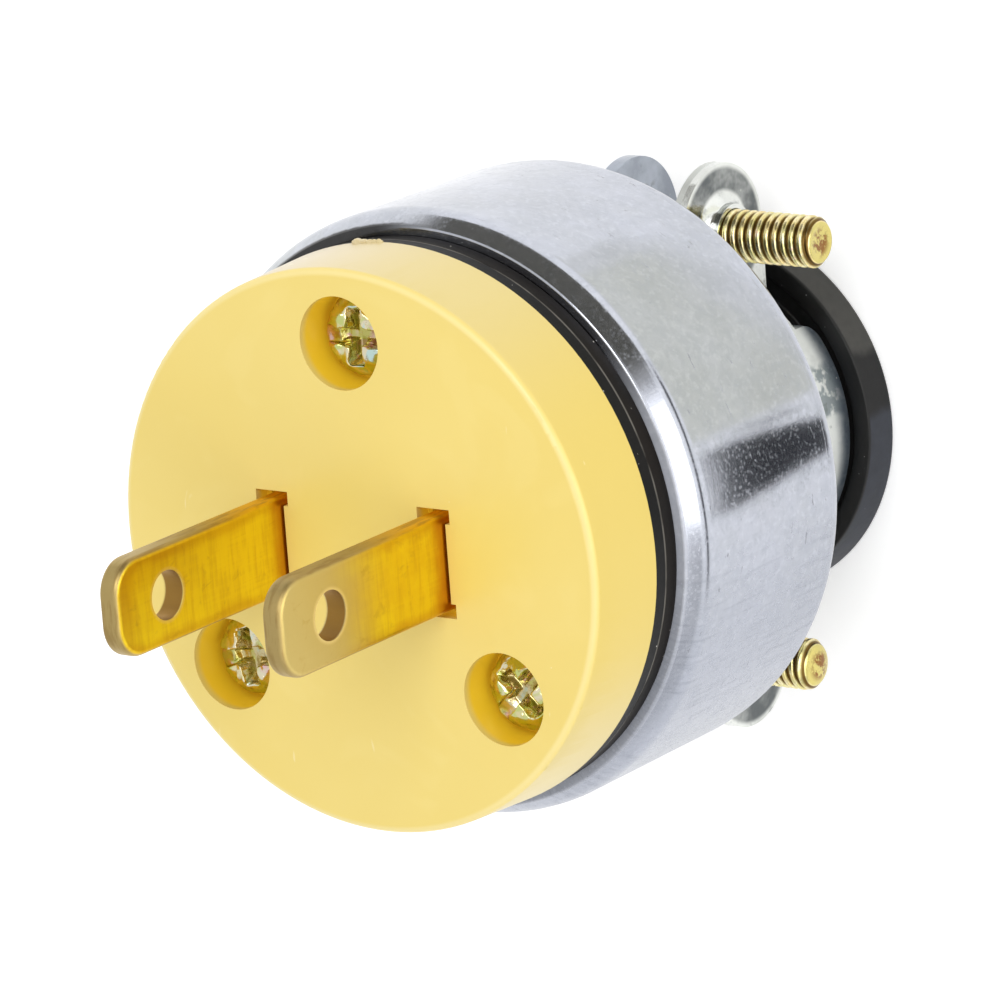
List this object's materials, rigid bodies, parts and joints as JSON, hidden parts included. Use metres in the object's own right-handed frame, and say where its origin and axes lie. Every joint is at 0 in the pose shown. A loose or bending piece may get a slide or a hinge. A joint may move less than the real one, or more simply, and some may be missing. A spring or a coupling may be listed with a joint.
{
  "type": "heavy-duty plug",
  "caption": "Round heavy-duty mains plug with flat blades, a moulded front cover held by recessed screws, a plated steel shell and a screwed cord clamp over a grommet.",
  "frame": {"origin": "on the plug's axis, in the plane of the grommet's flat rear face", "axes": "+Z along the plug's axis towards the blade tips, +X from the left blade to the right blade as seen in the picture, +Y towards the upper clamp screw"},
  "size_m": [0.0404, 0.0406, 0.0604],
  "materials": {
    "yellow_moulding": "glossy moulded",
    "blade_brass": "satin, stamped edges",
    "yellow_zinc_steel": "yellow zinc plated",
    "black_moulding": "moulded, satin",
    "black_fibre": "matt",
    "zinc_sheet": "zinc plated, satin",
    "bright_plated_steel": "bright plated",
    "terminal_brass": "satin",
    "grommet_rubber": "matt"
  },
  "bodies": {
    "root": {"front_cover": "yellow_moulding", "left_blade": "blade_brass", "right_blade": "blade_brass", "upper_cover_screw": "yellow_zinc_steel", "left_cover_screw": "yellow_zinc_steel", "right_cover_screw": "yellow_zinc_steel", "contact_carrier": "black_moulding", "insulating_ring": "black_fibre", "retaining_ring": "zinc_sheet", "shell_liner": "black_fibre", "shell": "bright_plated_steel", "near_clamp": "zinc_sheet", "far_clamp": "zinc_sheet", "upper_clamp_screw": "yellow_zinc_steel", "lower_clamp_screw": "yellow_zinc_steel", "left_terminal_screw": "terminal_brass", "right_terminal_screw": "terminal_brass", "grommet": "grommet_rubber"}
  },
  "joints": []
}
